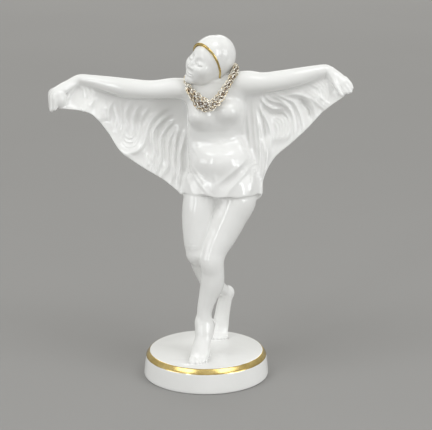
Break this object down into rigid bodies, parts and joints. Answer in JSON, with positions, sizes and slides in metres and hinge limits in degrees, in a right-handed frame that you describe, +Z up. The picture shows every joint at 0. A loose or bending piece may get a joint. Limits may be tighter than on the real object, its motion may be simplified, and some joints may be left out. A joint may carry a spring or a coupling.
{
  "type": "porcelain dancer figurine",
  "caption": "Glazed porcelain dancer on tiptoe holding out the cloth wings of her tunic, on a round gilt-edged base, with a chain rope round her neck.",
  "frame": {"origin": "middle of the base's flat underside", "axes": "+Z up, the figure looks towards -Y, her left hand is on +X"},
  "size_m": [0.1931, 0.082, 0.2246],
  "materials": {
    "porcelain": "clear gloss glaze over hard white porcelain, with burnished gold lines on the cap's edge and the base's shoulder",
    "chain": "bright pale gold and silver links with a rosy brown tone in the hollows"
  },
  "bodies": {
    "root": {"dancer": "porcelain", "necklace": "chain"}
  },
  "joints": []
}
